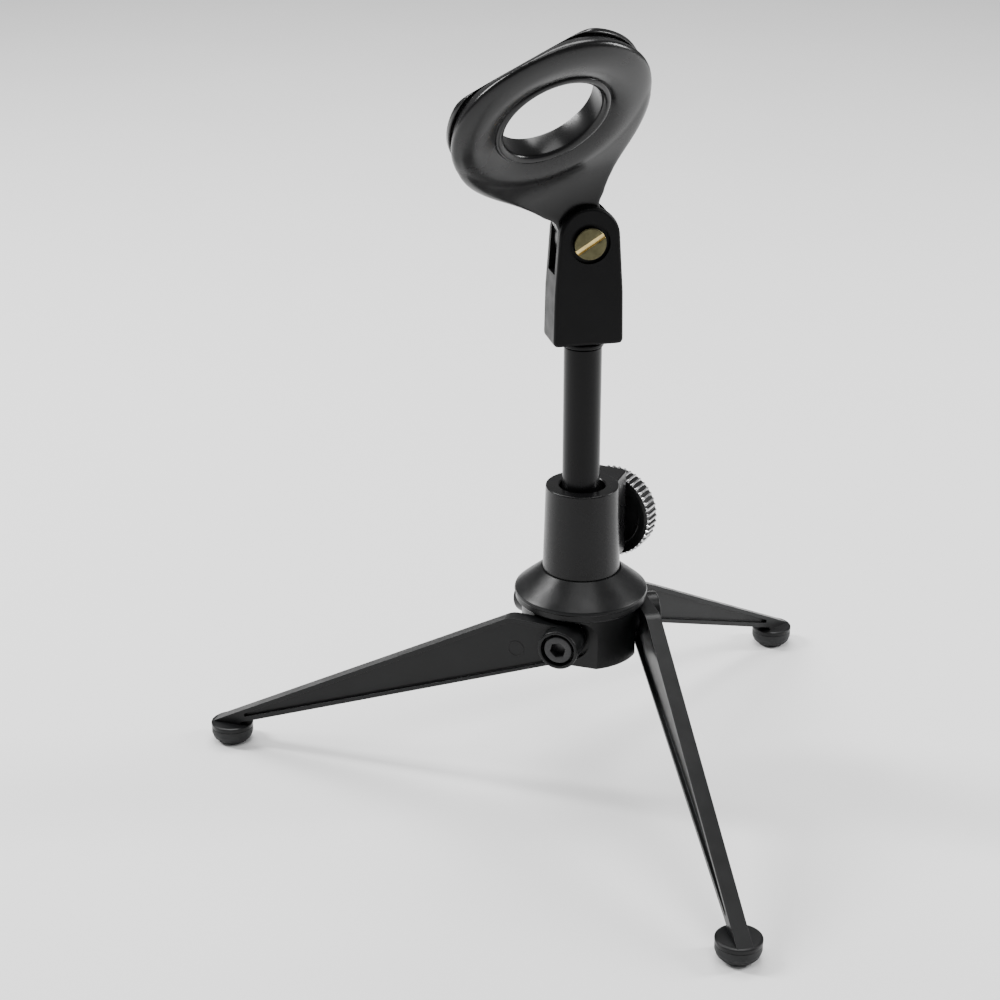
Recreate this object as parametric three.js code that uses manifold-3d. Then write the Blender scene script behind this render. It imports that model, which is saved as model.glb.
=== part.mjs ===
// Desktop microphone stand: folding die-cast tripod, clamped sliding post, fork and tilting clip.
// Millimetres, +Z up, -Y is the front. The pieces are drawn about the post axis; the whole stand is then
// moved so that the origin is on the table under the middle of its outline.

import * as THREE from 'three';
import { mergeVertices } from 'three/addons/utils/BufferGeometryUtils.js';
import { ConvexGeometry } from 'three/addons/geometries/ConvexGeometry.js';
import Module from 'manifold-3d';

const wasm = await Module();
wasm.setup();

const DEG = Math.PI / 180;
const GAP = 0.3;
const POST_AT = [19.75, 8.6];

// Tripod. Each leg lies in a vertical plane that passes the post axis at LEG_OFFSET.
const LEG_ANGLES = [161.6, 41.6, -78.4];
const LEG_OFFSET = 18;
const LEG_THICK = 4.6;
const LEG_BOLT_Z = 51;
const KNUCKLE_R = 5.9;
const KNUCKLE_INNER = 13.9;
const KNUCKLE_OUTER = 24.6;
const KNEE = [16, 57.7];
const LEG_TOP_END = [114.6, 6.5];
const LEG_LOW_END = [106, 6.4];
const RIM_WIDTH = 1.7;
const PANEL_DEPTH = 1.2;
const FOOT_AT = 108.8;
const FOOT_R = 6.65;
const CUP_TOP = 6.8;
const CUP_LOW = 5;
const PEG_R = 2;

// Hub casting with its cone.
const HUB_R = 17.6;
const HUB_LOW = 42;
const FLANGE_R = 19.9;
const FLANGE_LOW = 58.2;
const FLANGE_EDGE = 60.9;
const CONE_TOP_R = 12;
const CONE_TOP = 68.1;
const FACET_AT = 14.5;
const POCKET_R = 7.3;
const POCKET_FLOOR = 12.6;
const BOLT_HOLE_END = 7.9;

// Leg bolts, M5 cap heads sunk in the knuckles.
const BOLT_R = 2.5;
const BOLT_HEAD_R = 4.25;
const BOLT_HEAD_LOW = 19.6;
const BOLT_HEAD_TOP = 24.2;
const HEAD_BORE_R = 5.2;
const HEAD_BORE_FLOOR = 19.3;
const HEX_SOCKET_R = 2.3;

// Sleeve, with the lug that carries the thumb screw.
const SLEEVE_LOW = 68.4;
const SLEEVE_TOP = 94.5;
const SLEEVE_LOW_R = 11.5;
const SLEEVE_TOP_R = 10.8;
const SPIGOT_R = 8.8;
const SPIGOT_LOW = 55.6;
const BORE_R = 6.8;
const BORE_MOUTH_R = 7.2;
const LUG_ANGLE = 62;
const LUG_END = 16.6;
const LUG_ROOT_HALF = 8;
const LUG_END_HALF = 6.8;

// Thumb screw, M6, and its knurled wheel.
const CLAMP_Z = 78;
const CLAMP_R = 3;
const WHEEL_R = 13.7;
const WHEEL_IN = 18;
const WHEEL_THICK = 7;
const WHEEL_TEETH = 40;
const TOOTH_DEPTH = 0.55;

// Post. The thumb screw holds it against the far wall of the bore, so its axis is off the sleeve's.
const POST_PUSH = 1;
const TUBE_R = 5.5;
const TUBE_WALL = 1;
const TUBE_LOW = 62;
const TUBE_TOP = 137.8;
const COLLAR_R = 6;
const STUD_R = 3.8;

// Fork: the screw and the clip's tongue turn on the pivot axis, which is the fork's own Y.
const FORK_ANGLE = 13;
const FORK_LOW = 139.6;
const FORK_DEPTH = 12.6;
const FORK_HALF_LOW = 10.2;
const EAR_R = 8.8;
const EAR_CENTRE = 171;
const PIVOT_Z = 169.5;
const SLOT_WIDTH = 7;
const SLOT_FLOOR = 160.3;
const SCREW_HEAD_R = 4.6;
const SCREW_BORE_R = 5.8;
const SCREW_SLOT_ANGLE = 32;

// Clip, in the fork's frame with the pivot at the origin and the neck along +Z.
const CLIP_TILT = -21;
const TONGUE_R = 8.2;
const TONGUE_THICK = 6.4;
const NECK_OUTLINE = [
  [6.7, 0],
  [6.7, 8.2],
  [8.5, 10.4],
  [10.6, 12.6],
  [13.2, 14.4],
  [16.5, 16.6],
  [19, 18.6],
  [19, 20],
];
const FLARE_FIRST = 4;
const RING_AT = [0, -23, 41.4];
const RING_PITCH = 130;
const RING_BORE_R = 14.2;
const RING_BACK = -7.5;
const BACK_FLANGE_R = 28;
const BEVEL_FROM = [27.5, -3.1];
const BEVEL_TO = [20.6, -7.5];
const BEVEL_TURN = 10;

const MATERIALS = {
  castBlack: [0x17181a, 0.42, 0.6],
  satinBlack: [0x101012, 0.38, 0.5],
  tubeBlack: [0x131315, 0.3, 0.7],
  moulded: [0x0d0d0e, 0.5, 0],
  rubber: [0x121213, 0.55, 0],
  footRubber: [0x2b2c2e, 0.75, 0],
  brass: [0x8d8256, 0.35, 1],
  nickel: [0xb9babd, 0.28, 1],
  oxide: [0x1b1b1d, 0.4, 0.8],
  nylon: [0xd9d6cc, 0.5, 0],
};

function material(key) {
  const [color, roughness, metalness] = MATERIALS[key];
  return new THREE.MeshStandardMaterial({ color, roughness, metalness });
}

function solid(geometry) {
  const bare = geometry.index ? geometry.toNonIndexed() : geometry.clone();
  bare.deleteAttribute('normal');
  bare.deleteAttribute('uv');
  const merged = mergeVertices(bare, 1e-4);
  const mesh = new wasm.Mesh({
    numProp: 3,
    vertProperties: new Float32Array(merged.attributes.position.array),
    triVerts: new Uint32Array(merged.index.array),
  });
  return new wasm.Manifold(mesh);
}

function geometryOf(manifold) {
  const mesh = manifold.getMesh();
  const geometry = new THREE.BufferGeometry();
  geometry.setAttribute('position', new THREE.BufferAttribute(new Float32Array(mesh.vertProperties), 3));
  geometry.setIndex(new THREE.BufferAttribute(new Uint32Array(mesh.triVerts), 1));
  return geometry;
}

function join(first, ...rest) {
  return rest.reduce((sum, piece) => sum.add(piece), first);
}

function cut(body, ...tools) {
  return tools.reduce((left, tool) => left.subtract(tool), body);
}

// A solid of revolution about Z from [radius, height] points; a ring's outline closes on itself.
function revolved(points, segments = 32) {
  const profile = points.map(([r, z]) => new THREE.Vector2(r, z));
  if (points[0][0] > 0) {
    profile.push(profile[0].clone());
  }
  return solid(new THREE.LatheGeometry(profile, segments).rotateX(Math.PI / 2));
}

function extruded(outline, depth) {
  return solid(new THREE.ExtrudeGeometry(outline, { depth, bevelEnabled: false, curveSegments: 6 }));
}

// An outline in the X-Z plane, given thickness from yLow to yHigh.
function plate(outline, yLow, yHigh) {
  return extruded(outline, yHigh - yLow).rotate([90, 0, 0]).translate([0, yHigh, 0]);
}

function polygon(points) {
  return new THREE.Shape(points.map(([x, z]) => new THREE.Vector2(x, z)));
}

// A round bar along +Y from yLow to yHigh, at height z.
function barY(radius, yLow, yHigh, z, sides = 24) {
  const bar = new THREE.CylinderGeometry(radius, radius, yHigh - yLow, sides);
  return solid(bar.translate(0, (yLow + yHigh) / 2, z));
}

function barZ(radius, zLow, zHigh, sides = 24) {
  const bar = new THREE.CylinderGeometry(radius, radius, zHigh - zLow, sides).rotateX(Math.PI / 2);
  return solid(bar.translate(0, 0, (zLow + zHigh) / 2));
}

function mesh(name, manifold, materialKey) {
  const result = new THREE.Mesh(geometryOf(manifold), material(materialKey));
  result.name = name;
  return result;
}

// ---- Tripod ----

// The leg's side outline: round knuckle, flat stop face under the flange, knee, taper to the foot.
function legOutline() {
  const outline = new THREE.Shape();
  outline.moveTo(LEG_LOW_END[0], LEG_LOW_END[1]);
  outline.lineTo(LEG_TOP_END[0], LEG_TOP_END[1]);
  outline.lineTo(KNEE[0] + 1.6, KNEE[1] - 0.83);
  outline.quadraticCurveTo(KNEE[0], KNEE[1], KNEE[0] - 2, KNEE[1] - 0.1);
  outline.lineTo(0, LEG_BOLT_Z + KNUCKLE_R);
  outline.absarc(0, LEG_BOLT_Z, KNUCKLE_R, Math.PI / 2, Math.PI * 1.57, false);
  outline.lineTo(LEG_LOW_END[0], LEG_LOW_END[1]);
  return outline;
}

function panelOutline() {
  const taper = 0.52;
  return polygon([
    [8.6, LEG_BOLT_Z + 4.4],
    [KNEE[0] - 0.6, KNEE[1] - RIM_WIDTH - 0.6],
    [102, 13.6 - RIM_WIDTH - taper],
    [102, 8.1 + RIM_WIDTH],
    [8.6, 41.7 + RIM_WIDTH],
  ]);
}

function leg() {
  const inner = LEG_OFFSET - LEG_THICK / 2;
  const outer = LEG_OFFSET + LEG_THICK / 2;
  const web = cut(
    plate(legOutline(), inner, outer),
    plate(panelOutline(), outer - PANEL_DEPTH, outer + 1),
    plate(panelOutline(), inner - 1, inner + PANEL_DEPTH),
  );
  const knuckle = barY(KNUCKLE_R, KNUCKLE_INNER, KNUCKLE_OUTER, LEG_BOLT_Z);
  const cup = revolved([
    [0, CUP_LOW],
    [FOOT_R, CUP_LOW],
    [FOOT_R, CUP_TOP],
    [FOOT_R - 0.6, CUP_TOP],
    [FOOT_R - 0.8, CUP_TOP - 0.7],
    [0, CUP_TOP - 0.7],
  ], 24).translate([FOOT_AT, LEG_OFFSET, 0]);
  const peg = barZ(PEG_R, 2, CUP_LOW + 0.5, 12).translate([FOOT_AT, LEG_OFFSET, 0]);
  return cut(
    join(web, knuckle, cup, peg),
    barY(BOLT_R + GAP, 0, 40, LEG_BOLT_Z, 16),
    barY(HEAD_BORE_R, HEAD_BORE_FLOOR, 40, LEG_BOLT_Z),
  );
}

function legBolt() {
  const shank = barY(BOLT_R, BOLT_HOLE_END + GAP, BOLT_HEAD_LOW + 0.5, LEG_BOLT_Z, 16);
  const head = barY(BOLT_HEAD_R, BOLT_HEAD_LOW, BOLT_HEAD_TOP, LEG_BOLT_Z);
  const socket = barY(HEX_SOCKET_R, BOLT_HEAD_TOP - 2.6, BOLT_HEAD_TOP + 1, LEG_BOLT_Z, 6);
  return cut(join(shank, head), socket);
}

function legWasher() {
  const low = POCKET_FLOOR + GAP;
  const high = KNUCKLE_INNER - GAP;
  const disc = barY(5.4, low, high, LEG_BOLT_Z);
  return cut(disc, barY(BOLT_R + GAP, low - 1, high + 1, LEG_BOLT_Z, 16));
}

function footPad() {
  const cap = revolved([
    [0, 0],
    [4.7, 0],
    [6.3, 1.9],
    [FOOT_R, 2.6],
    [FOOT_R, CUP_LOW - GAP],
    [0, CUP_LOW - GAP],
  ], 24);
  return cut(cap, barZ(PEG_R + GAP, 1.6, CUP_LOW + 1, 12)).translate([FOOT_AT, LEG_OFFSET, 0]);
}

// The room that a leg's root needs in the hub: open outwards and downwards, round at the back.
function hubFacet() {
  const back = -9.7;
  const corner = 5.5;
  const top = LEG_BOLT_Z + KNUCKLE_R + 0.5;
  const outline = new THREE.Shape();
  outline.moveTo(back, HUB_LOW - 5);
  outline.lineTo(back, top - corner);
  outline.absarc(back + corner, top - corner, corner, Math.PI, Math.PI / 2, true);
  outline.lineTo(1, top + 0.1);
  outline.lineTo(7, FLANGE_LOW + 0.02);
  outline.lineTo(25, FLANGE_LOW + 0.02);
  outline.lineTo(25, HUB_LOW - 5);
  return plate(outline, FACET_AT, FACET_AT + 12);
}

function hubCasting() {
  const body = revolved([
    [BORE_R, HUB_LOW],
    [HUB_R - 0.5, HUB_LOW],
    [HUB_R, HUB_LOW + 0.5],
    [HUB_R, FLANGE_LOW],
    [FLANGE_R - 1, FLANGE_LOW],
    [FLANGE_R - 0.4, FLANGE_LOW + 0.7],
    [FLANGE_R - 0.4, FLANGE_EDGE - 0.4],
    [FLANGE_R, FLANGE_EDGE],
    [FLANGE_R - 0.3, FLANGE_EDGE + 0.7],
    [FLANGE_R - 1.2, FLANGE_EDGE + 1.7],
    [CONE_TOP_R, CONE_TOP],
    [SPIGOT_R + GAP, CONE_TOP],
    [SPIGOT_R + GAP, SPIGOT_LOW - GAP],
    [BORE_R, SPIGOT_LOW - GAP],
  ], 48);
  return LEG_ANGLES.reduce((hub, angle) => cut(
    hub,
    hubFacet().rotate([0, 0, angle]),
    barY(POCKET_R, POCKET_FLOOR, 20, LEG_BOLT_Z).rotate([0, 0, angle]),
    barY(BOLT_R + GAP, BOLT_HOLE_END, 20, LEG_BOLT_Z, 16).rotate([0, 0, angle]),
  ), body);
}

// ---- Sleeve and clamp ----

function lug() {
  const outline = new THREE.Shape();
  outline.moveTo(0, -LUG_ROOT_HALF);
  outline.lineTo(LUG_END - 1.5, -LUG_END_HALF);
  outline.quadraticCurveTo(LUG_END, -LUG_END_HALF, LUG_END, -LUG_END_HALF + 1.5);
  outline.lineTo(LUG_END, LUG_END_HALF - 1.5);
  outline.quadraticCurveTo(LUG_END, LUG_END_HALF, LUG_END - 1.5, LUG_END_HALF);
  outline.lineTo(0, LUG_ROOT_HALF);
  return extruded(outline, SLEEVE_TOP - 0.4 - SLEEVE_LOW).translate([0, 0, SLEEVE_LOW]);
}

function postSleeve() {
  const shell = revolved([
    [0, SPIGOT_LOW],
    [SPIGOT_R, SPIGOT_LOW],
    [SPIGOT_R, SLEEVE_LOW],
    [SLEEVE_LOW_R, SLEEVE_LOW],
    [SLEEVE_TOP_R, SLEEVE_TOP - 0.4],
    [SLEEVE_TOP_R - 0.4, SLEEVE_TOP],
    [0, SLEEVE_TOP],
  ]);
  const bore = revolved([
    [0, SPIGOT_LOW - 1],
    [BORE_R, SPIGOT_LOW - 1],
    [BORE_R, SLEEVE_TOP - 0.4],
    [BORE_MOUTH_R, SLEEVE_TOP],
    [BORE_MOUTH_R, SLEEVE_TOP + 1],
    [0, SLEEVE_TOP + 1],
  ]);
  const clampHole = alongClamp(barZ(CLAMP_R + GAP, 0, LUG_END + 2));
  return cut(join(shell, lug()), bore, clampHole);
}

// Lays a piece that was built along +Z onto the clamp axis, still pointing away from the post.
function alongClamp(manifold) {
  return manifold.rotate([0, 90, 0]).translate([0, 0, CLAMP_Z]);
}

function thumbWheel() {
  const points = [];
  for (let i = 0; i < WHEEL_TEETH; i += 1) {
    const step = (2 * Math.PI) / WHEEL_TEETH;
    const radii = [WHEEL_R, WHEEL_R, WHEEL_R - TOOTH_DEPTH];
    radii.forEach((radius, k) => {
      const angle = (i + [0, 0.5, 0.75][k]) * step;
      points.push([radius * Math.cos(angle), radius * Math.sin(angle)]);
    });
  }
  const wheel = extruded(polygon(points), WHEEL_THICK).translate([0, 0, WHEEL_IN]);
  return alongClamp(cut(wheel, barZ(CLAMP_R + GAP, WHEEL_IN - 1, WHEEL_IN + 5.5)));
}

function thumbScrew() {
  return alongClamp(barZ(CLAMP_R, 8, WHEEL_IN + 5.2));
}

function brakePad() {
  return alongClamp(barZ(CLAMP_R - 0.2, TUBE_R - POST_PUSH + 0.35, 8 - GAP, 16));
}

// ---- Post ----

function postTube() {
  return revolved([
    [TUBE_R - TUBE_WALL, TUBE_LOW],
    [TUBE_R, TUBE_LOW],
    [TUBE_R, TUBE_TOP],
    [TUBE_R - TUBE_WALL, TUBE_TOP],
  ]);
}

function tubeEndPlug() {
  const inner = TUBE_R - TUBE_WALL - GAP;
  return revolved([
    [0, TUBE_LOW - 2.3],
    [TUBE_R - 0.5, TUBE_LOW - 2.3],
    [TUBE_R, TUBE_LOW - 1.8],
    [TUBE_R, TUBE_LOW - GAP],
    [inner, TUBE_LOW - GAP],
    [inner, TUBE_LOW + 7],
    [0, TUBE_LOW + 7],
  ], 24);
}

function postStud() {
  const inner = TUBE_R - TUBE_WALL - GAP;
  return revolved([
    [0, TUBE_TOP - 12],
    [inner, TUBE_TOP - 12],
    [inner, TUBE_TOP + GAP],
    [COLLAR_R, TUBE_TOP + GAP],
    [COLLAR_R, FORK_LOW - GAP],
    [STUD_R, FORK_LOW - GAP],
    [STUD_R, FORK_LOW + 11],
    [STUD_R - 0.8, FORK_LOW + 11.8],
    [0, FORK_LOW + 11.8],
  ], 24);
}

// ---- Fork and clip, built about the post axis with the pivot along Y ----

function forkOutline() {
  const outline = new THREE.Shape();
  outline.moveTo(-FORK_HALF_LOW + 2, FORK_LOW);
  outline.lineTo(FORK_HALF_LOW - 2, FORK_LOW);
  outline.quadraticCurveTo(FORK_HALF_LOW, FORK_LOW, FORK_HALF_LOW, FORK_LOW + 2);
  outline.lineTo(EAR_R + 0.7, 157);
  outline.lineTo(EAR_R, EAR_CENTRE);
  outline.absarc(0, EAR_CENTRE, EAR_R, 0, Math.PI, false);
  outline.lineTo(-EAR_R - 0.7, 157);
  outline.lineTo(-FORK_HALF_LOW, FORK_LOW + 2);
  outline.quadraticCurveTo(-FORK_HALF_LOW, FORK_LOW, -FORK_HALF_LOW + 2, FORK_LOW);
  return outline;
}

function yoke() {
  const half = FORK_DEPTH / 2;
  const slot = polygon([
    [-20, SLOT_FLOOR],
    [20, SLOT_FLOOR],
    [20, 190],
    [-20, 190],
  ]);
  return cut(
    plate(forkOutline(), -half, half),
    plate(slot, -SLOT_WIDTH / 2, SLOT_WIDTH / 2),
    barY(BOLT_R + GAP, -20, 20, PIVOT_Z, 16),
    barY(SCREW_BORE_R, -half - 1, -half + 1.2, PIVOT_Z),
    barZ(5.2, FORK_LOW - 1, FORK_LOW + 13),
  );
}

function yokeInsert() {
  return revolved([
    [STUD_R + GAP, FORK_LOW + 0.5],
    [4.9, FORK_LOW + 0.5],
    [4.9, FORK_LOW + 12.6],
    [STUD_R + GAP, FORK_LOW + 12.6],
  ], 24);
}

function pivotScrew() {
  const face = -FORK_DEPTH / 2 - 0.4;
  const headBack = face + 1.3;
  const head = barY(SCREW_HEAD_R, face, headBack, PIVOT_Z);
  const shank = barY(BOLT_R, headBack - 0.3, FORK_DEPTH / 2 + 5.6, PIVOT_Z, 16);
  const slot = plate(polygon([[-7, -0.75], [7, -0.75], [7, 0.75], [-7, 0.75]]), face - 1, face + 0.7);
  return cut(join(head, shank), slot.rotate([0, -SCREW_SLOT_ANGLE, 0]).translate([0, 0, PIVOT_Z]));
}

function pivotWasher() {
  const low = FORK_DEPTH / 2 + GAP;
  const disc = barY(4.9, low, low + 0.9, PIVOT_Z);
  return cut(disc, barY(BOLT_R + GAP, low - 1, low + 2, PIVOT_Z, 16));
}

function pivotNut() {
  const low = FORK_DEPTH / 2 + 1.5;
  const hexagon = barY(4.6, low, low + 3.4, PIVOT_Z, 6);
  return cut(hexagon, barY(BOLT_R + GAP, low - 1, low + 5, PIVOT_Z, 16));
}

// Section of the clip's ring as [radius, height along the ring's axis]; height 0 is the front lip.
function ringSection() {
  return [
    [RING_BORE_R, RING_BACK],
    [BACK_FLANGE_R - 0.5, RING_BACK],
    [BACK_FLANGE_R, RING_BACK + 0.6],
    [BACK_FLANGE_R - 0.4, RING_BACK + 1.5],
    [26.6, -5.6],
    [26.6, -5.1],
    [27.6, -4.2],
    [28.3, -2.6],
    [28.6, -1.4],
    [28, -0.5],
    [26.3, 0.1],
    [23.5, 0.4],
    [20.5, 0.2],
    [17.8, -0.5],
    [16, 0],
    [14.9, -0.5],
    [RING_BORE_R, -1.7],
  ];
}

// Turns a piece built about +Z so that its axis is the ring's, and puts it at the ring's place.
function atRing(manifold) {
  return manifold.rotate([RING_PITCH, 0, 0]).translate(RING_AT);
}

function ringPoint(angle, radius, height) {
  const spin = new THREE.Vector3(radius * Math.cos(angle), radius * Math.sin(angle), height);
  spin.applyAxisAngle(new THREE.Vector3(1, 0, 0), RING_PITCH * DEG);
  return spin.add(new THREE.Vector3(...RING_AT));
}

// The neck is a flat plate that widens above the fork, then a hull from its end to the ring's lower half.
function neck() {
  const points = [];
  for (const [halfWidth, height] of NECK_OUTLINE.slice(FLARE_FIRST, -1)) {
    for (const side of [-1, 1]) {
      points.push(new THREE.Vector3(side * halfWidth, -TONGUE_THICK / 2, height));
      points.push(new THREE.Vector3(side * halfWidth, TONGUE_THICK / 2 - 0.8, height));
    }
  }
  for (let i = 0; i <= 8; i += 1) {
    const angle = -(12 + (156 * i) / 8) * DEG;
    points.push(ringPoint(angle, 26.5, 0.1));
    points.push(ringPoint(angle, 27.8, -0.9));
    points.push(ringPoint(angle, 27.2, -4.2));
  }
  const left = NECK_OUTLINE.map(([x, z]) => [-x, z]).reverse();
  const flat = plate(polygon([...NECK_OUTLINE, ...left]), -TONGUE_THICK / 2, TONGUE_THICK / 2);
  return join(flat, solid(new ConvexGeometry(points)));
}

// The ring's back edge is bevelled across its top, a little off centre.
function backBevel() {
  const [fromR, fromZ] = BEVEL_FROM;
  const [toR, toZ] = BEVEL_TO;
  const slope = Math.atan2(fromZ - toZ, fromR - toR);
  const block = new THREE.BoxGeometry(70, 40, 20).translate(0, 0, -10).rotateX(slope);
  block.translate(0, toR, toZ);
  return atRing(solid(block).rotate([0, 0, BEVEL_TURN]));
}

function clipRing() {
  const ring = cut(atRing(revolved(ringSection(), 44)), backBevel());
  const tongue = barY(TONGUE_R, -TONGUE_THICK / 2, TONGUE_THICK / 2, 0, 28);
  const bore = atRing(barZ(RING_BORE_R, -30, 2.4, 44));
  const front = [[0, -1.7], [14.4, -1.7], [17.8, -0.45], [23.5, 0.45], [25.5, 0.3], [25.5, 20], [0, 20]];
  const dish = atRing(revolved(front, 44));
  const stem = cut(neck(), bore, dish);
  return cut(join(ring, tongue, stem), barY(BOLT_R + GAP, -10, 10, 0, 16));
}

// ---- Assembly ----

const stand = new THREE.Group();

stand.add(mesh('hub_casting', hubCasting(), 'castBlack'));

LEG_ANGLES.forEach((angle, index) => {
  const number = index + 1;
  const group = new THREE.Group();
  group.rotation.z = angle * DEG;
  group.add(mesh(`leg_${number}`, leg(), 'castBlack'));
  group.add(mesh(`leg_bolt_${number}`, legBolt(), 'oxide'));
  group.add(mesh(`leg_washer_${number}`, legWasher(), 'nylon'));
  group.add(mesh(`foot_pad_${number}`, footPad(), 'footRubber'));
  stand.add(group);
});

const clamp = new THREE.Group();
clamp.rotation.z = LUG_ANGLE * DEG;
clamp.add(mesh('post_sleeve', postSleeve(), 'satinBlack'));
clamp.add(mesh('thumb_wheel', thumbWheel(), 'nickel'));
clamp.add(mesh('thumb_screw', thumbScrew(), 'nickel'));
clamp.add(mesh('brake_pad', brakePad(), 'nylon'));
stand.add(clamp);

const post = new THREE.Group();
post.position.x = -POST_PUSH * Math.cos(LUG_ANGLE * DEG);
post.position.y = -POST_PUSH * Math.sin(LUG_ANGLE * DEG);
post.add(mesh('post_tube', postTube(), 'tubeBlack'));
post.add(mesh('tube_end_plug', tubeEndPlug(), 'moulded'));
post.add(mesh('post_stud', postStud(), 'tubeBlack'));
stand.add(post);

const fork = new THREE.Group();
fork.rotation.z = FORK_ANGLE * DEG;
fork.add(mesh('yoke', yoke(), 'moulded'));
fork.add(mesh('yoke_insert', yokeInsert(), 'brass'));
fork.add(mesh('pivot_screw', pivotScrew(), 'brass'));
fork.add(mesh('pivot_washer', pivotWasher(), 'brass'));
fork.add(mesh('pivot_nut', pivotNut(), 'brass'));

const clip = new THREE.Group();
clip.position.z = PIVOT_Z;
clip.rotation.y = CLIP_TILT * DEG;
clip.add(mesh('clip_ring', clipRing(), 'rubber'));
fork.add(clip);
post.add(fork);
stand.position.set(POST_AT[0], POST_AT[1], 0);

const assembly = new THREE.Group();
assembly.add(stand);

export default assembly;
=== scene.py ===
import math

import bmesh
import bpy
from mathutils import Matrix, Vector


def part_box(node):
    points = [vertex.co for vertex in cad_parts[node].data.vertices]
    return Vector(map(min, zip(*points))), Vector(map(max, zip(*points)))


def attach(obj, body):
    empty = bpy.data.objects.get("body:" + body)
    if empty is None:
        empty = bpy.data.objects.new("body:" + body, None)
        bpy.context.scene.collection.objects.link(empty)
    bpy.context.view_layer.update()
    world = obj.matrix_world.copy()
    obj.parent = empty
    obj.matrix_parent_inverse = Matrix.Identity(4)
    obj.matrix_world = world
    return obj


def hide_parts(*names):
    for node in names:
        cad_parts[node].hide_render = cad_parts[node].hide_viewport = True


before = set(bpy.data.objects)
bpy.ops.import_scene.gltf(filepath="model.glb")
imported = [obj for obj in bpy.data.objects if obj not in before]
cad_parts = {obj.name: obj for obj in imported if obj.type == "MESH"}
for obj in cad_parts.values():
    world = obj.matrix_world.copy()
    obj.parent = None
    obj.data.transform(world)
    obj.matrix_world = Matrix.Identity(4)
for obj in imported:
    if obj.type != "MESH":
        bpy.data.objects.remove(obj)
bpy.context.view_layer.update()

MM = 0.001
LEG_ANGLES = (161.6, 41.6, -78.4)
LUG_ANGLE = 62.0
FORK_ANGLE = 13.0
CLIP_TILT = -21.0
BOLT_Z = 51.0
CLAMP_Z = 78.0
PIVOT_Z = 169.5
WEB_INNER, WEB_OUTER = 15.7, 20.3
PANEL_DEPTH = 1.2
KNUCKLE_RADIUS = 5.9
FOOT_PLACE = (108.8, 18, 0)
PIN_HOLE = 2.8
NECK_HALF_DEPTH = 3.2
RING_AT = (0.0, -23.0, 41.4)
RING_PITCH = 130.0


def middle(node):
    """The centre of a node's box at rest."""
    low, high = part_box(node)
    return (low + high) / 2


hub_at = middle("hub_casting")
tube_at = middle("post_tube")
HUB = Matrix.Translation((hub_at.x, hub_at.y, 0)) @ Matrix.Scale(MM, 4)
POST = Matrix.Translation((tube_at.x, tube_at.y, 0)) @ Matrix.Scale(MM, 4)


def turn(angle, axis):
    """A rotation by an angle in degrees."""
    return Matrix.Rotation(math.radians(angle), 4, axis)


# ---------- shapes, in millimetres ----------

def rounded(points, radius=0.3, special=None, closed=True, steps=4):
    """The outline with rounded corners; special gives some corners their own radius."""
    special = special or {}
    count = len(points)
    result = []
    for i, corner in enumerate(points):
        r = special.get(i, radius)
        at_end = not closed and i in (0, count - 1)
        if at_end or r <= 0:
            result.append(tuple(corner))
            continue
        here = Vector(corner)
        back = Vector(points[i - 1]) - here
        ahead = Vector(points[(i + 1) % count]) - here
        corner_angle = back.angle(ahead)
        if corner_angle > math.radians(176):
            result.append(tuple(corner))
            continue
        reach = min(r / math.tan(corner_angle / 2), 0.45 * back.length,
                    0.45 * ahead.length)
        start = here + back.normalized() * reach
        end = here + ahead.normalized() * reach
        for k in range(steps + 1):
            t = k / steps
            result.append(tuple(start * (1 - t) ** 2 + here * 2 * t * (1 - t)
                                + end * t * t))
    return result


def shape(name, verts, faces):
    """A new object in the scene, made of these points and faces."""
    mesh = bpy.data.meshes.new(name)
    mesh.from_pydata([tuple(v) for v in verts], [], faces)
    mesh.validate()
    obj = bpy.data.objects.new(name, mesh)
    bpy.context.scene.collection.objects.link(obj)
    tidy(obj)
    return obj


def tidy(obj):
    """Joins points that coincide and turns every face outwards."""
    work = bmesh.new()
    work.from_mesh(obj.data)
    bmesh.ops.remove_doubles(work, verts=work.verts, dist=1e-5)
    bmesh.ops.recalc_face_normals(work, faces=work.faces)
    work.to_mesh(obj.data)
    work.free()


def lathe(name, profile, segments=96):
    """Turns [radius, height] points about Z. A profile off the axis closes on itself."""
    verts = []
    rows = []
    for r, z in profile:
        if r < 1e-6:
            rows.append([len(verts)] * segments)
            verts.append((0, 0, z))
            continue
        rows.append(list(range(len(verts), len(verts) + segments)))
        for k in range(segments):
            a = 2 * math.pi * k / segments
            verts.append((r * math.cos(a), r * math.sin(a), z))
    pairs = list(zip(rows, rows[1:]))
    if profile[0][0] > 1e-6:
        pairs.append((rows[-1], rows[0]))
    faces = []
    for low, high in pairs:
        for k in range(segments):
            n = (k + 1) % segments
            quad = []
            for v in (low[k], low[n], high[n], high[k]):
                if v not in quad:
                    quad.append(v)
            if len(quad) > 2:
                faces.append(quad)
    return shape(name, verts, faces)


def loft(name, rings):
    """Joins rings of points, all with the same count, and closes both ends."""
    count = len(rings[0])
    verts = [p for ring in rings for p in ring]
    faces = []
    for i in range(len(rings) - 1):
        for k in range(count):
            n = (k + 1) % count
            faces.append((i * count + k, i * count + n,
                          (i + 1) * count + n, (i + 1) * count + k))
    faces.append(tuple(range(count)))
    faces.append(tuple(range(len(verts) - count, len(verts))))
    return shape(name, verts, faces)


def slab(name, outline, low, high):
    """An outline in X and Z, thick from low to high along Y."""
    return loft(name, [[(x, y, z) for x, z in outline] for y in (low, high)])


def block(name, low, high):
    """A box between two corners."""
    outline = [(low[0], low[2]), (high[0], low[2]),
               (high[0], high[2]), (low[0], high[2])]
    return slab(name, outline, low[1], high[1])


def move(obj, matrix):
    obj.data.transform(matrix)
    return obj


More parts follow.
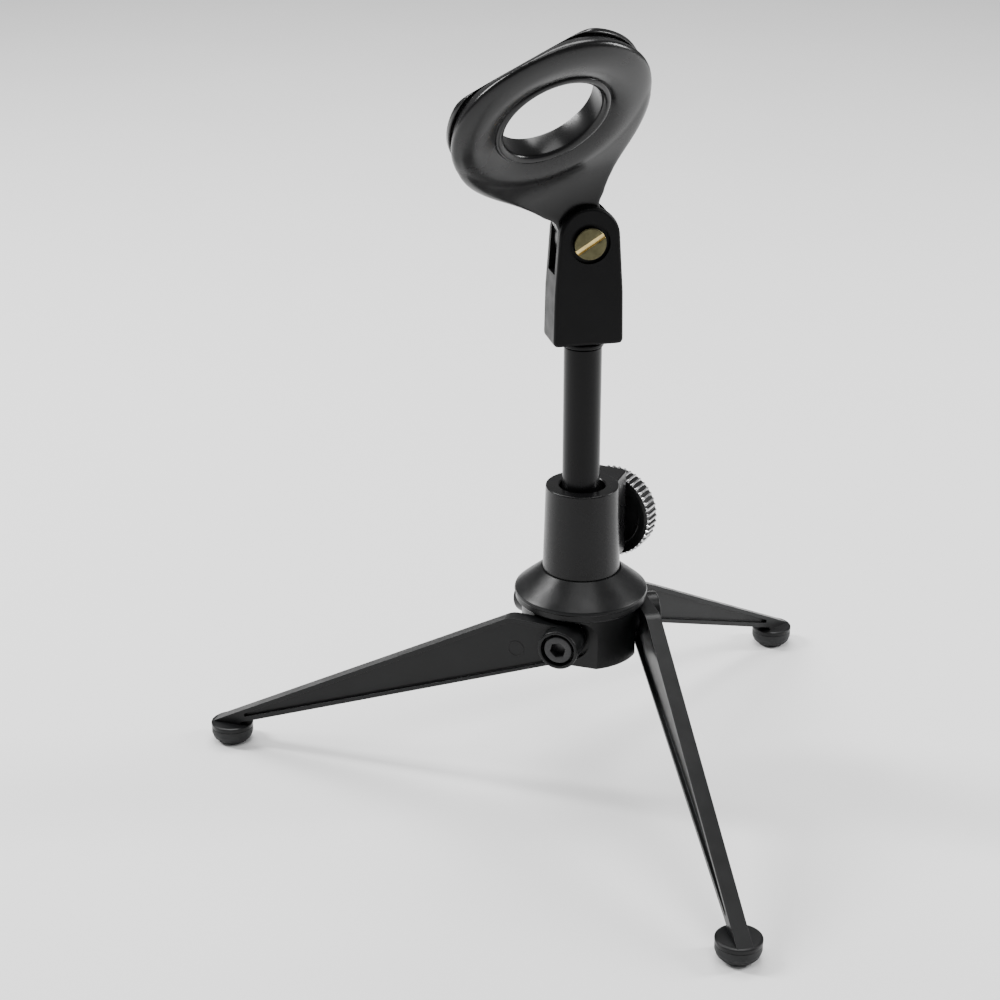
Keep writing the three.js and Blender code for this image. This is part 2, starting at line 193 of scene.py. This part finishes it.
def along_y(obj):
    """Lays a piece turned about Z down, so that its height runs along +Y."""
    return move(obj, turn(-90, "X"))


def rod_y(name, radius, low, high, segments=64):
    """A round rod along Y."""
    profile = [(0, low), (radius, low), (radius, high), (0, high)]
    return along_y(lathe(name, profile, segments))


def hexagon(radius, start=0.0):
    """Six corners at this radius, the first at the start angle in degrees."""
    angles = [math.radians(start + 60 * k) for k in range(6)]
    return [(radius * math.cos(a), radius * math.sin(a)) for a in angles]


def bake(obj):
    """Applies every modifier of the object."""
    graph = bpy.context.evaluated_depsgraph_get()
    mesh = bpy.data.meshes.new_from_object(obj.evaluated_get(graph))
    obj.modifiers.clear()
    obj.data = mesh
    return obj


def combine(obj, tools, operation):
    for tool in tools:
        modifier = obj.modifiers.new("combine", "BOOLEAN")
        modifier.operation = operation
        modifier.solver = "EXACT"
        modifier.object = tool
        bake(obj)
        bpy.data.objects.remove(tool)
    tidy(obj)
    return obj


def cut(obj, *tools):
    return combine(obj, tools, "DIFFERENCE")


def fuse(obj, *tools):
    return combine(obj, tools, "UNION")


def bevel(obj, width, segments=3, angle=30):
    modifier = obj.modifiers.new("bevel", "BEVEL")
    modifier.width = width
    modifier.segments = segments
    modifier.limit_method = "ANGLE"
    modifier.angle_limit = math.radians(angle)
    modifier.miter_outer = "MITER_ARC"
    modifier.use_clamp_overlap = True
    return bake(obj)


def gather(first, *others):
    """One object from several meshes that keep their own surfaces."""
    work = bmesh.new()
    work.from_mesh(first.data)
    for other in others:
        work.from_mesh(other.data)
        bpy.data.objects.remove(other)
    work.to_mesh(first.data)
    work.free()
    return first


# ---------- materials ----------

class Paint:
    """Builds one procedural material a step at a time."""

    def __init__(self, name, color, roughness, metallic=0.0, specular=0.5):
        self.material = bpy.data.materials.new(name)
        self.material.use_nodes = True
        self.nodes = self.material.node_tree.nodes
        self.links = self.material.node_tree.links
        self.shader = self.nodes["Principled BSDF"]
        self.shader.inputs["Base Color"].default_value = (*color, 1)
        self.shader.inputs["Roughness"].default_value = roughness
        self.shader.inputs["Metallic"].default_value = metallic
        self.shader.inputs["Specular IOR Level"].default_value = specular
        self.place = self.nodes.new("ShaderNodeTexCoord").outputs["Object"]
        self.color = color
        self.roughness = roughness
        self.height = None

    def noise(self, scale, detail=3.0, stretch=(1, 1, 1)):
        mapping = self.nodes.new("ShaderNodeMapping")
        mapping.inputs["Scale"].default_value = stretch
        self.links.new(self.place, mapping.inputs["Vector"])
        node = self.nodes.new("ShaderNodeTexNoise")
        node.inputs["Scale"].default_value = scale
        node.inputs["Detail"].default_value = detail
        self.links.new(mapping.outputs["Vector"], node.inputs["Vector"])
        return node.outputs["Fac"]

    def spread(self, source, low, high):
        node = self.nodes.new("ShaderNodeMapRange")
        node.inputs["From Min"].default_value = 0.3
        node.inputs["From Max"].default_value = 0.7
        node.inputs["To Min"].default_value = low
        node.inputs["To Max"].default_value = high
        self.links.new(source, node.inputs["Value"])
        return node.outputs["Result"]

    def vary_roughness(self, scale, amount, stretch=(1, 1, 1)):
        value = self.spread(self.noise(scale, 4, stretch),
                            self.roughness - amount, self.roughness + amount)
        self.links.new(value, self.shader.inputs["Roughness"])
        return self

    def vary_color(self, scale, amount, stretch=(1, 1, 1)):
        mix = self.nodes.new("ShaderNodeMix")
        mix.data_type = "RGBA"
        mix.inputs["A"].default_value = (*[c * (1 - amount) for c in self.color], 1)
        mix.inputs["B"].default_value = (*[min(1, c * (1 + amount)) for c in self.color], 1)
        factor = self.spread(self.noise(scale, 4, stretch), 0, 1)
        self.links.new(factor, mix.inputs["Factor"])
        self.links.new(mix.outputs["Result"], self.shader.inputs["Base Color"])
        return self

    def bump(self, scale, depth_mm, stretch=(1, 1, 1), detail=2.0):
        node = self.nodes.new("ShaderNodeBump")
        node.inputs["Strength"].default_value = 1.0
        node.inputs["Distance"].default_value = depth_mm * MM
        self.links.new(self.noise(scale, detail, stretch), node.inputs["Height"])
        if self.height is not None:
            self.links.new(self.height, node.inputs["Normal"])
        self.height = node.outputs["Normal"]
        self.links.new(self.height, self.shader.inputs["Normal"])
        return self


CAST = (Paint("cast_black", (0.006, 0.0062, 0.0065), 0.34, specular=0.2)
        .vary_roughness(180, 0.05).vary_color(90, 0.15)
        .bump(1400, 0.012).bump(160, 0.02)).material
SATIN = (Paint("satin_black", (0.004, 0.004, 0.0043), 0.27, specular=0.2)
         .vary_roughness(150, 0.04).vary_color(60, 0.12).bump(1100, 0.006)).material
TUBE = (Paint("tube_black", (0.003, 0.003, 0.0033), 0.26, specular=0.14)
        .vary_roughness(120, 0.04, (1, 1, 0.1)).vary_color(60, 0.12)
        .bump(900, 0.004, (1, 1, 0.08))).material
MOULDED = (Paint("moulded_black", (0.003, 0.003, 0.0033), 0.40, specular=0.12)
           .vary_roughness(260, 0.05).vary_color(120, 0.15).bump(2600, 0.01)).material
RUBBER = (Paint("clip_rubber", (0.003, 0.003, 0.0033), 0.25, specular=0.32)
          .vary_roughness(90, 0.05).vary_color(40, 0.2)
          .bump(1500, 0.006).bump(60, 0.02)).material
FOOT = (Paint("foot_rubber", (0.012, 0.0124, 0.013), 0.6, specular=0.3)
        .vary_roughness(300, 0.08).vary_color(200, 0.2).bump(1700, 0.02)).material
BRASS = (Paint("brass", (0.72, 0.56, 0.24), 0.3, metallic=1.0)
         .vary_roughness(500, 0.10).vary_color(300, 0.18)
         .bump(2200, 0.008, (1, 0.1, 1))).material
DULL_BRASS = (Paint("dull_brass", (0.10, 0.092, 0.05), 0.38, metallic=1.0)
              .vary_roughness(500, 0.08).vary_color(350, 0.2)
              .bump(2200, 0.006, (1, 0.1, 1))).material
NICKEL = (Paint("nickel", (0.62, 0.62, 0.63), 0.24, metallic=1.0)
          .vary_roughness(600, 0.08).vary_color(300, 0.12).bump(1500, 0.005)).material
# Black metal of the wheel's body, also painted into the knurl's grooves as shade.
BLACK_METAL_AND_GROOVE_SHADE = (Paint("black_metal_and_groove_shade", (0.005, 0.005, 0.0053), 0.33, specular=0.3)
              .vary_roughness(400, 0.06).vary_color(200, 0.2).bump(1800, 0.006)).material
OXIDE = (Paint("black_oxide", (0.02, 0.02, 0.021), 0.32, metallic=0.3, specular=0.4)
         .vary_roughness(500, 0.07).vary_color(300, 0.2).bump(2500, 0.006)).material
NYLON = (Paint("nylon", (0.62, 0.60, 0.55), 0.45, specular=0.5)
         .vary_roughness(300, 0.05).vary_color(150, 0.05).bump(1500, 0.008)).material


def piece(obj, name, body, nodes, material, place=POST, flat_angle=38,
          weigh=True):
    """Puts a finished shape in the frame, with its body, CAD nodes and material."""
    obj.data.transform(place)
    obj.name = name
    obj.data.name = name
    if material is not None:
        obj.data.materials.clear()
        obj.data.materials.append(material)
    for face in obj.data.polygons:
        face.use_smooth = True
    obj.data.set_sharp_from_angle(angle=math.radians(flat_angle))
    if weigh:
        weighted = obj.modifiers.new("weighted", "WEIGHTED_NORMAL")
        weighted.keep_sharp = True
    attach(obj, body)
    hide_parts(*nodes)
    return obj


# ---------- tripod ----------

def top_line(s):
    """Height of the leg's upper edge, s mm out from its bolt."""
    return 55.63 - 0.5208 * (s - 20)


def low_line(s):
    """Height of the leg's lower edge, s mm out from its bolt."""
    return 37.64 - 0.356 * (s - 20)


def leg_web():
    """The flat leg with a shallow panel in each side."""
    top = (0, BOLT_Z + KNUCKLE_RADIUS)
    arc = []
    for k in range(17):
        a = math.radians(90 + 11.6 * k)
        arc.append((KNUCKLE_RADIUS * math.cos(a), BOLT_Z + KNUCKLE_RADIUS * math.sin(a)))
    end = [(104.5, low_line(104.5)), (106.5, 5.6), (114.2, 5.6), (114.6, 6.4)]
    knee = rounded([(40, top_line(40)), (16, 57.75), top], 7.0, closed=False, steps=8)
    web = slab("leg", [top] + arc + end + knee[1:-1], WEB_INNER, WEB_OUTER)
    panel = rounded([(3.8, 55.7), (15.6, 56.35), (103.5, top_line(103.5) - 1.45),
                     (103.5, low_line(103.5) + 1.75), (3.8, 44.9)], 0.6)
    outer = slab("panel", panel, WEB_OUTER - PANEL_DEPTH, 24)
    inner = slab("panel", panel, 12, WEB_INNER + PANEL_DEPTH)
    cut(web, outer, inner, rod_y("hole", 5.5, 10, 30))
    return bevel(web, 0.34)


def leg_barrel():
    """The round knuckle that the bolt goes through."""
    profile = rounded([(PIN_HOLE, 13.9), (6.0, 13.9), (6.0, 23.7), (5.05, 23.7),
                       (5.05, 19.3), (PIN_HOLE, 19.3)], 0.25, {1: 0.4, 2: 0.7})
    return along_y(lathe("barrel", profile, 72))


def leg():
    """Web, knuckle, the disc over the foot, and a raised ring in the panel."""
    web = leg_web()
    barrel = move(leg_barrel(), Matrix.Translation((0, 0, BOLT_Z)))
    disc_profile = rounded([(0, 5.05), (6.55, 5.05), (6.6, 6.3), (5.9, 6.5), (0, 6.5)],
                           0.3, {1: 0.12}, closed=False)
    disc = move(lathe("disc", disc_profile), Matrix.Translation(FOOT_PLACE))
    mark_profile = rounded([(2.15, -0.08), (2.55, -0.08), (2.55, 0.09), (2.15, 0.09)],
                           0.05)
    mark = along_y(lathe("mark", mark_profile, 48))
    move(mark, Matrix.Translation((14.2, WEB_OUTER - PANEL_DEPTH, 47.3)))
    return gather(web, barrel, disc, mark)


def leg_bolt():
    """A cap screw with a hexagon socket."""
    profile = rounded([(0, 8.2), (2.5, 8.2), (2.5, 19.6), (4.25, 19.6), (4.25, 23.3),
                       (0, 23.3)], 0.2, {4: 0.45}, closed=False)
    head = lathe("bolt", profile, 72)
    socket = move(slab("socket", hexagon(2.42, 15), -26, -20.5), turn(180, "Z"))
    along_y(head)
    cut(head, socket)
    return bevel(head, 0.1, 2, 45)


def leg_washer():
    profile = rounded([(PIN_HOLE, 12.9), (5.4, 12.9), (5.4, 13.6), (PIN_HOLE, 13.6)], 0.15)
    return along_y(lathe("washer", profile, 64))


def foot_pad():
    profile = rounded([(0, 0), (4.5, 0), (6.0, 1.6), (6.5, 3.0), (6.5, 4.95),
                       (0, 4.95)], 0.8, {4: 0.12}, closed=False)
    return lathe("foot", profile, 96)


for number, angle in enumerate(LEG_ANGLES, 1):
    place = HUB @ turn(angle, "Z")
    at_bolt = place @ Matrix.Translation((0, 0, BOLT_Z))
    at_foot = place @ Matrix.Translation(FOOT_PLACE)
    rider = f"leg_{number}_body"
    piece(leg(), f"v_leg_{number}", rider, [f"leg_{number}"],
          CAST, place)
    piece(foot_pad(), f"v_foot_{number}", rider, [f"foot_pad_{number}"],
          FOOT, at_foot)
    piece(leg_bolt(), f"v_leg_bolt_{number}", "base", [f"leg_bolt_{number}"],
          OXIDE, at_bolt)
    piece(leg_washer(), f"v_leg_washer_{number}", "base", [f"leg_washer_{number}"],
          NYLON, at_bolt)


def hub():
    """Cylinder, flange and cone in one casting, with a flat and a pocket for each leg."""
    profile = rounded([
        (6.8, 42), (17.6, 42), (17.6, 58.2), (18.95, 58.2), (19.5, 58.8),
        (19.5, 60.5), (19.9, 60.8), (19.75, 61.7), (18.7, 62.65), (12, 68.1),
        (9.1, 68.1), (9.1, 55.3), (6.8, 55.3),
    ], 0.3, {1: 0.5, 2: 0.6, 5: 0.2, 6: 0.3, 7: 0.5, 8: 1.2, 9: 0.12})
    body = lathe("hub", profile, 144)
    corner = []
    for k in range(9):
        a = math.radians(180 - 11.25 * k)
        corner.append((-4.2 + 5.5 * math.cos(a), 51.9 + 5.5 * math.sin(a)))
    edge = [(1, 57.5), (7, 58.22), (26, 58.22), (26, 36)]
    facet = [(-9.7, 36)] + corner + edge
    for angle in LEG_ANGLES:
        tools = [slab("facet", facet, 14.5, 27)]
        for radius, bottom in ((7.3, 12.6), (PIN_HOLE, 7.9)):
            pocket = rod_y("pocket", radius, bottom, 20)
            tools.append(move(pocket, Matrix.Translation((0, 0, BOLT_Z))))
        for tool in tools:
            move(tool, turn(angle, "Z"))
        cut(body, *tools)
    return bevel(body, 0.3, 3, 34)


piece(hub(), "v_hub", "base", ["hub_casting"], CAST, HUB)


# ---------- sleeve and clamp ----------

def sleeve():
    """The round sleeve with its spigot, and the lug for the thumb screw."""
    shell = lathe("sleeve", rounded([
        (6.8, 55.6), (8.8, 55.6), (8.8, 68.2), (11.5, 68.2), (10.8, 94.5),
        (7.15, 94.5), (6.8, 94.1),
    ], 0.3, {3: 0.1, 4: 0.45, 5: 0.2, 6: 0.1}), 144)
    outline = rounded([(7.5, -8), (16.6, -6.8), (16.6, 6.8), (7.5, 8)], 0, {1: 1.6, 2: 1.6})
    lug = loft("lug", [[(x, y, z) for x, y in outline] for z in (68.7, 94.4)])
    bevel(lug, 0.4)
    fuse(shell, lug)
    hole = move(rod_y("hole", 3.3, 2, 20), turn(-90, "Z"))
    move(hole, Matrix.Translation((0, 0, CLAMP_Z)))
    return cut(shell, hole)


def wheel():
    """The knurled wheel, its grooves painted dark as shade; rows give height, share of the
    radius and share of the groove.
    """
    teeth = 46
    steps = 10
    tip_radius = 13.7
    groove_depth = 0.6
    rows = ((0, 0.86, 0), (0.15, 0.9, 0), (0.35, 0.955, 0.2), (1.0, 1.0, 1),
            (6.0, 1.0, 1), (6.65, 0.955, 0.2), (6.85, 0.9, 0), (7.0, 0.86, 0))
    rings = []
    for along, scale, depth in rows:
        ring = []
        for k in range(teeth * steps):
            phase = (k % steps) / steps
            groove = 1 / (1 + math.exp(-7 * (math.cos(2 * math.pi * phase) + 0.25)))
            r = tip_radius * scale - groove_depth * depth * groove
            a = 2 * math.pi * k / (teeth * steps)
            ring.append((r * math.cos(a), r * math.sin(a), along))
        rings.append(ring)
    body = loft("wheel", rings)
    dish_near = lathe("dish", [(3.9, -1), (10.4, -1), (10.4, 0.5), (9.9, 0.9),
                               (3.9, 0.9)], 72)
    dish_far = lathe("dish", [(0, 8), (10.4, 8), (10.4, 6.5), (9.9, 6.1), (0, 6.1)], 72)
    bore = lathe("bore", [(0, -2), (3.3, -2), (3.3, 5.4), (0, 5.4)], 48)
    cut(body, dish_near, dish_far, bore)
    # The wheel's body is black metal; the knurl's groove faces get the same black as
    # painted shade, while tooth tips and chamfers get nickel.
    body.data.materials.append(BLACK_METAL_AND_GROOVE_SHADE)
    body.data.materials.append(NICKEL)
    for face in body.data.polygons:
        radius = math.hypot(face.center.x, face.center.y)
        on_chamfer = radius > 12.95 and 0.25 < abs(face.normal.z) < 0.97
        tip = radius > 13.42 or on_chamfer
        face.material_index = 1 if tip else 0
    return body


def thumb_screw():
    """The screw, with plain rings for its thread."""
    turns = 12
    pitch = 0.8
    root, crest = 2.6, 3.0
    profile = [(0, 8), (root, 8)]
    for k in range(turns):
        base = 8.5 + k * pitch
        profile += [(root, base), (crest, base + 0.3), (crest, base + 0.45),
                    (root, base + 0.75)]
    profile += [(crest, 18.4), (crest, 23.2), (0, 23.2)]
    return lathe("screw", profile, 48)


SLEEVE = HUB @ turn(LUG_ANGLE, "Z")
CLAMP = SLEEVE @ Matrix.Translation((0, 0, CLAMP_Z)) @ turn(90, "Y")
piece(sleeve(), "v_sleeve", "base", ["post_sleeve"], SATIN, SLEEVE)
piece(wheel(), "v_thumb_wheel", "thumb", ["thumb_wheel"], None,
      CLAMP @ Matrix.Translation((0, 0, 18)))
piece(thumb_screw(), "v_thumb_screw", "thumb", ["thumb_screw"], NICKEL, CLAMP)
pad_profile = rounded([(0, 4.9), (2.8, 4.9), (2.8, 7.7), (0, 7.7)], 0.25, closed=False)
piece(lathe("pad", pad_profile, 48), "v_brake_pad", "brake", ["brake_pad"],
      NYLON, CLAMP)


# ---------- post ----------

tube_profile = rounded([(4.5, 62), (5.5, 62), (5.5, 137.8), (4.5, 137.8)], 0.25)
piece(lathe("tube", tube_profile, 128), "v_tube", "post", ["post_tube"],
      TUBE)
plug_profile = rounded([(0, 59.7), (5.4, 59.7), (5.4, 61.7), (4.2, 61.7), (4.2, 69),
                        (0, 69)], 0.3, {1: 0.6}, closed=False)
piece(lathe("plug", plug_profile, 72), "v_end_plug", "post", ["tube_end_plug"],
      MOULDED)
stud_profile = rounded([(0, 125.8), (4.2, 125.8), (4.2, 138.1), (6.0, 138.1),
                        (6.0, 139.3), (3.8, 139.3), (3.8, 150.6), (3.0, 151.4),
                        (0, 151.4)], 0.25, {3: 0.3, 4: 0.3}, closed=False)
piece(lathe("stud", stud_profile, 96), "v_stud", "post", ["post_stud"],
      TUBE)


# ---------- fork ----------

FORK = POST @ turn(FORK_ANGLE, "Z")
PIVOT = FORK @ Matrix.Translation((0, 0, PIVOT_Z))


def fork_body():
    """The moulded fork, with its slot, screw recess and socket."""
    ear_radius = 8.8
    ear_z = 171
    ear = []
    for k in range(25):
        a = math.radians(7.5 * k)
        ear.append((ear_radius * math.cos(a), ear_z + ear_radius * math.sin(a)))
    foot = rounded([(-9.9, 155), (-10.2, 139.6), (10.2, 139.6), (9.9, 155)], 1.6,
                   closed=False, steps=5)
    body = slab("fork", foot + ear, -6.3, 6.3)
    bevel(body, 1.0, 5)
    slot = block("slot", (-20, -3.5, 160.3), (20, 3.5, 190))
    at_pivot = Matrix.Translation((0, 0, PIVOT_Z))
    hole = move(rod_y("hole", PIN_HOLE, -20, 20), at_pivot)
    face = move(rod_y("face", 5.8, -8, -5.1, 96), at_pivot)
    socket = lathe("socket", [(0, 138), (5.2, 138), (5.2, 152.6), (0, 152.6)], 64)
    cut(body, slot, hole, face, socket)
    return bevel(body, 0.22, 3, 50)


def pivot_screw():
    """The slotted screw: dull brass outside, with bright brass painted on the floor of its
    slot as a highlight.
    """
    slot_turn = 32
    profile = rounded([(0, -6.7), (4.6, -6.7), (4.6, -5.4), (2.5, -5.4), (2.5, 11.9),
                       (0, 11.9)], 0.3, {1: 0.35, 3: 0.1}, closed=False)
    body = along_y(lathe("screw", profile, 96))
    slot = block("slot", (-7, -8, -0.75), (7, -6.05, 0.75))
    cut(body, move(slot, turn(-slot_turn, "Y")))
    bevel(body, 0.1, 2, 50)
    # The head gets the dull brass; the faces on the floor of the slot get the bright brass
    # as a painted highlight.
    body.data.materials.append(DULL_BRASS)
    body.data.materials.append(BRASS)
    across = turn(slot_turn, "Y")
    for face in body.data.polygons:
        spot = across @ face.center
        sunk = -6.66 < face.center.y < -5.95
        slot_highlight = sunk and abs(spot.z) < 0.8 and abs(spot.x) < 4.5
        face.material_index = 1 if slot_highlight else 0
    return body


piece(fork_body(), "v_fork", "fork", ["yoke"], MOULDED, FORK)
piece(pivot_screw(), "v_pivot_screw", "fork", ["pivot_screw"], None, PIVOT)
washer_profile = rounded([(PIN_HOLE, 6.6), (4.9, 6.6), (4.9, 7.5), (PIN_HOLE, 7.5)], 0.2)
piece(along_y(lathe("washer", washer_profile, 64)), "v_pivot_washer", "fork",
      ["pivot_washer"], BRASS, PIVOT)
nut = cut(slab("nut", hexagon(4.6), 7.8, 11.2), rod_y("hole", PIN_HOLE, 0, 20))
piece(bevel(nut, 0.3), "v_pivot_nut", "fork", ["pivot_nut"], BRASS, PIVOT)
insert_profile = rounded([(4.1, 140.1), (4.9, 140.1), (4.9, 152.2), (4.1, 152.2)], 0.15)
piece(lathe("insert", insert_profile, 64), "v_insert", "fork", ["yoke_insert"],
      BRASS, FORK)


# ---------- clip ----------

RING = Matrix.Translation(RING_AT) @ turn(RING_PITCH, "X")


def curve(points, steps=6):
    """A smooth open line through the points."""
    result = []
    for i in range(len(points) - 1):
        before = Vector(points[max(i - 1, 0)])
        start = Vector(points[i])
        end = Vector(points[i + 1])
        after = Vector(points[min(i + 2, len(points) - 1)])
        for k in range(steps):
            t = k / steps
            result.append(tuple(0.5 * (2 * start + (end - before) * t
                                       + (2 * before - 5 * start + 4 * end - after) * t ** 2
                                       + (3 * start - before - 3 * end + after) * t ** 3)))
    result.append(tuple(points[-1]))
    return result


def lip():
    """The bore and the rounded lip round its mouth."""
    mouth = curve([(14.2, -2.0), (14.35, -1.1), (14.9, -0.45), (15.7, -0.15),
                   (16.4, -0.35), (16.8, -0.9)])
    back = [(18.6, -7.45), (14.6, -7.45), (14.3, -7.35), (14.2, -7.05)]
    return lathe("lip", back + mouth + [(18.6, -1.9)], 192)


def flatten(obj):
    """Draws in the top of the ring's back edge, a little off centre, with soft ends."""
    direction = math.radians(100)
    back_height = -7.5
    back_reach = 20.6
    slope = 1.568
    for vertex in obj.data.vertices:
        x, y, height = vertex.co
        radius = math.hypot(x, y)
        cosine = math.cos(math.atan2(y, x) - direction)
        if radius < 18 or cosine < 0.2:
            continue
        limit = (back_reach + slope * (height - back_height)) / cosine
        drawn = -math.log(math.exp(-radius) + math.exp(-limit))
        vertex.co.x *= drawn / radius
        vertex.co.y *= drawn / radius
    return obj


def back_flange():
    """The thin flange behind the groove."""
    face = [(17 + k, -7.5) for k in range(10)]
    edge = rounded([(27, -7.5), (28, -7.5), (28, -5.8), (27, -5.8)], 0.5, {0: 0, 3: 0})
    front = [(26 - k, -5.8) for k in range(10)]
    rim = lathe("rim", [(17, -6.5), (26.7, -6.5), (26.7, -4.4), (17, -4.4)], 192)
    return gather(flatten(lathe("flange", face + edge + front, 192)), flatten(rim))


def bezier(a, b, c, d, t):
    """The point at t on a cubic curve."""
    u = 1 - t
    return a * u ** 3 + b * (3 * u * u * t) + c * (3 * u * t * t) + d * t ** 3


def flare():
    """The sheet that sweeps from the end of the neck to the ring's lower half."""
    down = (RING.to_3x3() @ Vector((0, -1, 0))).normalized()
    count = 40
    steps = 18
    rim_radius = 28.5
    neck_half_width = 8.7
    neck_z = 10.4

    def line(k, front):
        """The four points of one curve down the sheet, on its front or its back."""
        share = math.sqrt(math.sin(math.pi * k / count))
        a = math.radians(-6 - 168 * k / count)
        if front:
            radius = rim_radius - 4.0 * share
            height = 0.6 - 1.65 * ((radius - 24.5) / 4.2) ** 2
            depth = -NECK_HALF_DEPTH
        else:
            radius = rim_radius - 1.0 * share
            height = -3.8 - 0.6 * share
            depth = NECK_HALF_DEPTH
        start = RING @ Vector((radius * math.cos(a), radius * math.sin(a), height))
        end = Vector((neck_half_width * math.cos(a), depth, neck_z))
        reach = (end - start).length
        lean = Vector((0.72 * math.cos(a), 0, 1)).normalized()
        return start, start + down * reach * 0.42, end + lean * reach * 0.34, end

    lines = [line(k, True) for k in range(count + 1)]
    lines += [line(k, False) for k in range(count, -1, -1)]
    total = len(lines)
    verts = [bezier(*points, j / steps) for j in range(steps + 1) for points in lines]
    faces = []
    for j in range(steps):
        for k in range(total):
            n = (k + 1) % total
            faces.append((j * total + k, j * total + n,
                          (j + 1) * total + n, (j + 1) * total + k))
    for row in (0, steps * total):
        for k in range(count):
            faces.append((row + k, row + k + 1,
                          row + total - 2 - k, row + total - 1 - k))
    return shape("sheet", verts, faces)


def clip():
    """Ring, flare, neck and tongue melted into one, with the bore's lip and the flange."""
    crest = curve([(15.6, -2.0), (16.5, -0.9), (18.0, -0.2), (20.0, 0.4), (22.5, 0.68),
                   (25.2, 0.45), (27.3, -0.15), (28.7, -1.1), (28.8, -2.3),
                   (27.8, -4.0), (26.6, -5.1), (15.6, -5.1)], 5)
    core = move(flatten(lathe("core", crest, 192)), RING)
    side = [(6.7, 0), (6.7, 8.2), (7.6, 9.6), (8.9, 10.9)]
    outline = side + [(-x, z) for x, z in reversed(side)]
    neck = slab("neck", outline, -NECK_HALF_DEPTH, NECK_HALF_DEPTH)
    tongue = rod_y("tongue", 8.2, -NECK_HALF_DEPTH, NECK_HALF_DEPTH, 96)
    body = gather(core, flare(), neck, tongue)
    remesh = body.modifiers.new("remesh", "REMESH")
    remesh.mode = "VOXEL"
    remesh.voxel_size = 0.34
    smooth = body.modifiers.new("smooth", "SMOOTH")
    smooth.factor = 0.5
    smooth.iterations = 26
    bake(body)
    cut(body, rod_y("hole", PIN_HOLE, -10, 10, 48))
    return gather(move(lip(), RING), move(back_flange(), RING), body)


piece(clip(), "v_clip", "clip", ["clip_ring"], RUBBER,
      PIVOT @ turn(CLIP_TILT, "Y"), flat_angle=50, weigh=False)


# ---------- stage ----------

floor_mesh = bpy.data.meshes.new("floor")
floor_mesh.from_pydata([(-12, -12, 0), (12, -12, 0), (12, 12, 0), (-12, 12, 0)],
                       [], [(0, 1, 2, 3)])
floor = bpy.data.objects.new("floor", floor_mesh)
bpy.context.scene.collection.objects.link(floor)
floor_paint = Paint("floor", (0.86, 0.86, 0.86), 0.6, specular=0.2).vary_roughness(8, 0.05)
floor_mesh.materials.append(floor_paint.material)


def softbox(name, at, aim, size, power, height):
    """An area light of this width and height, turned towards a point."""
    data = bpy.data.lights.new(name, "AREA")
    data.shape = "RECTANGLE"
    data.size = size
    data.size_y = height
    data.energy = power
    lamp = bpy.data.objects.new(name, data)
    lamp.location = at
    lamp.rotation_euler = (Vector(aim) - Vector(at)).to_track_quat("-Z", "Y").to_euler()
    bpy.context.scene.collection.objects.link(lamp)


target = (hub_at.x, hub_at.y, 0.1)
softbox("left_box", (-0.9, 0.25, 0.85), target, 0.2, 16, 0.5)
softbox("right_box", (1.0, 0.15, 0.55), target, 0.16, 10, 0.5)
softbox("top_box", (-0.1, 0.7, 1.5), target, 1.2, 26, 0.8)
softbox("over_box", (0.08, -0.35, 1.3), target, 0.8, 7, 0.5)

world = bpy.data.worlds.new("studio")
world.use_nodes = True
world.node_tree.nodes["Background"].inputs["Color"].default_value = (1, 1, 1, 1)
world.node_tree.nodes["Background"].inputs["Strength"].default_value = 0.3
bpy.context.scene.world = world

lens = bpy.data.cameras.new("camera")
lens.lens = 80
lens.sensor_width = 36
lens.clip_end = 100
camera = bpy.data.objects.new("camera", lens)
camera.location = (hub_at.x - 0.0242, hub_at.y - 0.6034, 0.3445)
camera.rotation_euler = (math.radians(67.08), 0, 0)
bpy.context.scene.collection.objects.link(camera)
bpy.context.scene.camera = camera
